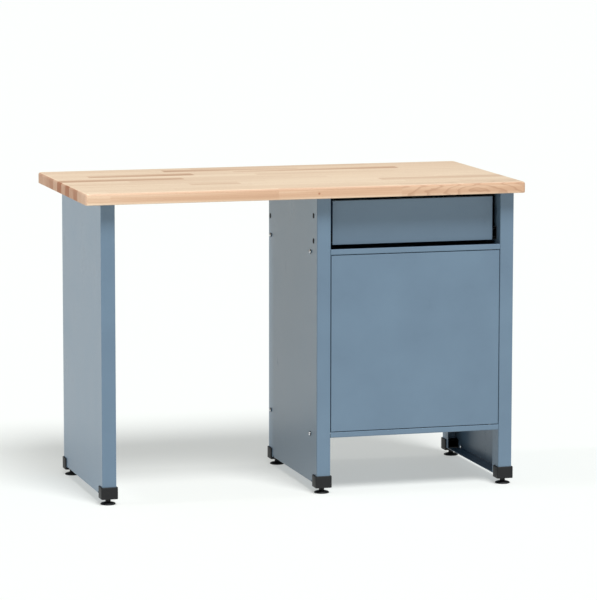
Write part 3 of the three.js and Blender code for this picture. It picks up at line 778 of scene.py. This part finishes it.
# black liners in the runner slots of the webs, shaped as moulded plugs: dark parts that paint the shade in
# the slots so they read dark
liner = {
    "flange": (0.0105, 0.0135),  # width and height
    "thick": 0.0007,
    "corner": 0.0028,
    "cornerSteps": 4,
    "neck": 0.0009,  # how far the flange laps over the sheet on each side
    "wall": 0.0005,
    "depth": 0.009,
    "spots": {"front_low": (-0.226, 0.6755), "front_high": (-0.226, 0.7425), "rear": (0.199, 0.6965)},
}


def makeSlotShades():
    clearPick()
    thick = liner["thick"]
    bpy.ops.mesh.primitive_cube_add(size=1, location=(-thick / 2, 0, 0), scale=(thick, *liner["flange"]))
    model = bpy.context.object
    bpy.ops.object.transform_apply(location=True, rotation=True, scale=True)
    verts = model.data.vertices
    pick(model, "EDGE", lambda edge: abs(verts[edge.vertices[0]].co.x - verts[edge.vertices[1]].co.x) > touch)
    bpy.ops.mesh.bevel(offset=liner["corner"], segments=liner["cornerSteps"], affect="EDGES")
    for way, inset in ((1, liner["neck"]), (-1, liner["neck"] + liner["wall"])):  # neck, then its hollow
        pick(model, "FACE", lambda face: face.normal.x * way > square)
        bpy.ops.mesh.inset(thickness=inset)
        bpy.ops.mesh.extrude_region_move(TRANSFORM_OT_translate={"value": (liner["depth"], 0, 0)})
    bpy.ops.object.mode_set(mode="OBJECT")
    for side, facing in (("middle", 0), ("right", 180)):
        low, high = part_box(side + "_side_panel")
        for spot, (y, z) in liner["spots"].items():
            place = (high.x if facing else low.x, y, z)
            # each liner is a dark part that stands in for the shade in its slot
            piece = copyTo(model, f"{side}_{spot}_slot_shade_liner", place, (0, 0, facing))
            settle(piece, "black_plastic", "bench")
    drop(model)


makeSlotShades()
print("slot liners made")


# push latch: moulded body with a collar, domed plunger and two screws from below
latch = {
    "edge": 0.0012,
    "steps": 3,
    "sides": 32,
    "smooth": 40,
    "collar": ((5.9, 0.0), (5.9, 0.7), (5.5, 1.1), (4.8, 1.1), (4.4, 0.7), (4.4, 0.0)),
    "tip": ((1.3, 0.0), (2.5, 0.25), (3.3, 0.8), (3.8, 1.7), (4.0, 3.0)),
    "screw": ((3.0, -0.2), (3.0, 0.3), (2.7, 0.9), (2.0, 1.3), (1.6, 1.35), (1.4, 1.2), (1.3, 0.4)),
    "screwIn": 0.007,  # from each end of the body
}


def makeHousing(low, high):
    piece = mergedCopy("latch_housing", "latch_housing_moulded")
    verts = piece.data.vertices

    def onCorner(edge):  # level with two sides of the body
        flush = 0
        for axis in range(3):
            for limit in (low[axis], high[axis]):
                flush += all(abs(verts[k].co[axis] - limit) < touch for k in edge.vertices)
        return flush == 2

    pick(piece, "EDGE", onCorner)
    bpy.ops.mesh.bevel(offset=latch["edge"], segments=latch["steps"], affect="EDGES")
    settle(piece, "black_plastic", "bench", ["latch_housing"], latch["smooth"])


def makePlunger(low, high):
    length = (high.y - low.y) / mm
    profile = latch["tip"] + ((latch["tip"][-1][0], length),)
    piece = turn("latch_plunger_domed", profile, latch["sides"])
    piece.location = ((low.x + high.x) / 2, low.y, (low.z + high.z) / 2)
    piece.rotation_euler = (math.radians(-90), 0, 0)
    settle(piece, "white_nylon", "plunger", ["latch_plunger"], latch["smooth"])


def makeCollar(place):
    ring = turn("latch_collar", latch["collar"], latch["sides"])
    pick(ring, "FACE", lambda face: len(face.vertices) > 4)  # both ends, opened and bridged into a bore
    bpy.ops.mesh.delete(type="ONLY_FACE")
    bpy.ops.mesh.select_mode(type="EDGE")
    bpy.ops.mesh.select_non_manifold()
    bpy.ops.mesh.bridge_edge_loops()
    bpy.ops.mesh.select_all(action="SELECT")
    bpy.ops.mesh.normals_make_consistent(inside=False)
    bpy.ops.object.mode_set(mode="OBJECT")
    ring.location = place
    ring.rotation_euler = (math.radians(90), 0, 0)
    settle(ring, "black_plastic", "bench")


def makeLatch():
    low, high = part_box("latch_housing")
    tipLow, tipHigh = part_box("latch_plunger")
    makeHousing(low, high)
    makePlunger(tipLow, tipHigh)
    makeCollar(((tipLow.x + tipHigh.x) / 2, low.y, (tipLow.z + tipHigh.z) / 2))
    model = turn("latch_screw_model", latch["screw"], latch["sides"])
    for number, y in enumerate((low.y + latch["screwIn"], high.y - latch["screwIn"]), 1):
        piece = copyTo(model, f"latch_screw_{number}", ((low.x + high.x) / 2, y, low.z), (180, 0, 0))
        settle(piece, "zinc_steel", "bench", finish="screw_steel_painted_highlight")
    drop(model)


makeLatch()
print("latch made")


# rivets that hold the drawer rails, seen inside the drawer
rivet = {
    "sides": 28,
    "dome": ((3.4, -0.2), (3.4, 0.3), (3.1, 0.9), (2.4, 1.4), (1.4, 1.7), (0.6, 1.8)),
    "rows": (-0.19, -0.02, 0.15),
    "wall": 0.0012,  # drawer sheet
}


def makeRivets():
    model = turn("rivet_model", rivet["dome"], rivet["sides"])
    low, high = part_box("drawer_box")
    for side, face, inward in (("left", low.x + rivet["wall"], 1), ("right", high.x - rivet["wall"], -1)):
        railLow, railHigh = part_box(side + "_drawer_rail")
        for number, y in enumerate(rivet["rows"], 1):
            place = (face, y, (railLow.z + railHigh.z) / 2)
            piece = copyTo(model, f"{side}_drawer_rivet_{number}", place, (0, inward * 90, 0))
            settle(piece, "zinc_steel", "drawer")
    drop(model)


makeRivets()
print("rivets made")


# plain floor and soft studio light
studio = {
    "floor": 160.0,
    "floorTone": (0.42, 0.43, 0.42, 1.0),
    "floorRough": 0.9,
    "floorGlow": 0.43,  # the floor shines a little by itself, so shadows stay soft
    "overhead": 0.22,  # light of the sky above
    "horizon": 1.35,  # what is added at the horizon in front
    "horizonFall": 4,  # power by which that falls off upwards
    "horizonTurn": (0.55, 0.45),  # share of it at the sides, and what the front gains and the back loses
    "hue": (0.97, 1.0, 0.98, 1.0),
    "lampHeight": 5,
    "lamps": {  # where each shines from, how wide it is in degrees, and its power
        "key_light": ((0.08, -0.53, 0.85), 26.0, 3.75),
        "fill_light": ((-0.98, 0.05, 0.20), 6.0, 1.35),
    },
}


def setFloor():
    clearPick()
    bpy.ops.mesh.primitive_plane_add(size=studio["floor"])
    floor = bpy.context.object
    floor.name = "studio_floor"
    paint = Finish("floor_paint").close(
        Base_Color=studio["floorTone"], Roughness=studio["floorRough"],
        Emission_Color=studio["hue"], Emission_Strength=studio["floorGlow"])
    floor.data.materials.append(paint)


def setSky():
    sky = Finish("studio_sky", bpy.data.worlds)
    north, height = sky.parts(sky.node("TexCoord", out="Generated"))[1:]
    low = (1 - height.maths("ABSOLUTE", height)) ** studio["horizonFall"]
    share, change = studio["horizonTurn"]
    glow = studio["overhead"] + studio["horizon"] * low * (share - north * change)
    shader = sky.node("Background", None, {"Color": studio["hue"], "Strength": glow})
    sky.node("OutputWorld", None, {"Surface": shader})
    bpy.context.scene.world = sky.material


def setLamps():
    for name, (source, spread, power) in studio["lamps"].items():
        aim = Vector(source).to_track_quat("Z", "Y").to_euler()
        bpy.ops.object.light_add(type="SUN", location=(0, 0, studio["lampHeight"]), rotation=aim)
        lamp = bpy.context.object
        lamp.name = name
        lamp.data.angle = math.radians(spread)
        lamp.data.energy = power
        lamp.visible_glossy = name == "key_light"  # the low fill would glare on the top from the right


setFloor()
setSky()
setLamps()
bpy.context.scene.view_settings.view_transform = "Standard"
print("studio set")
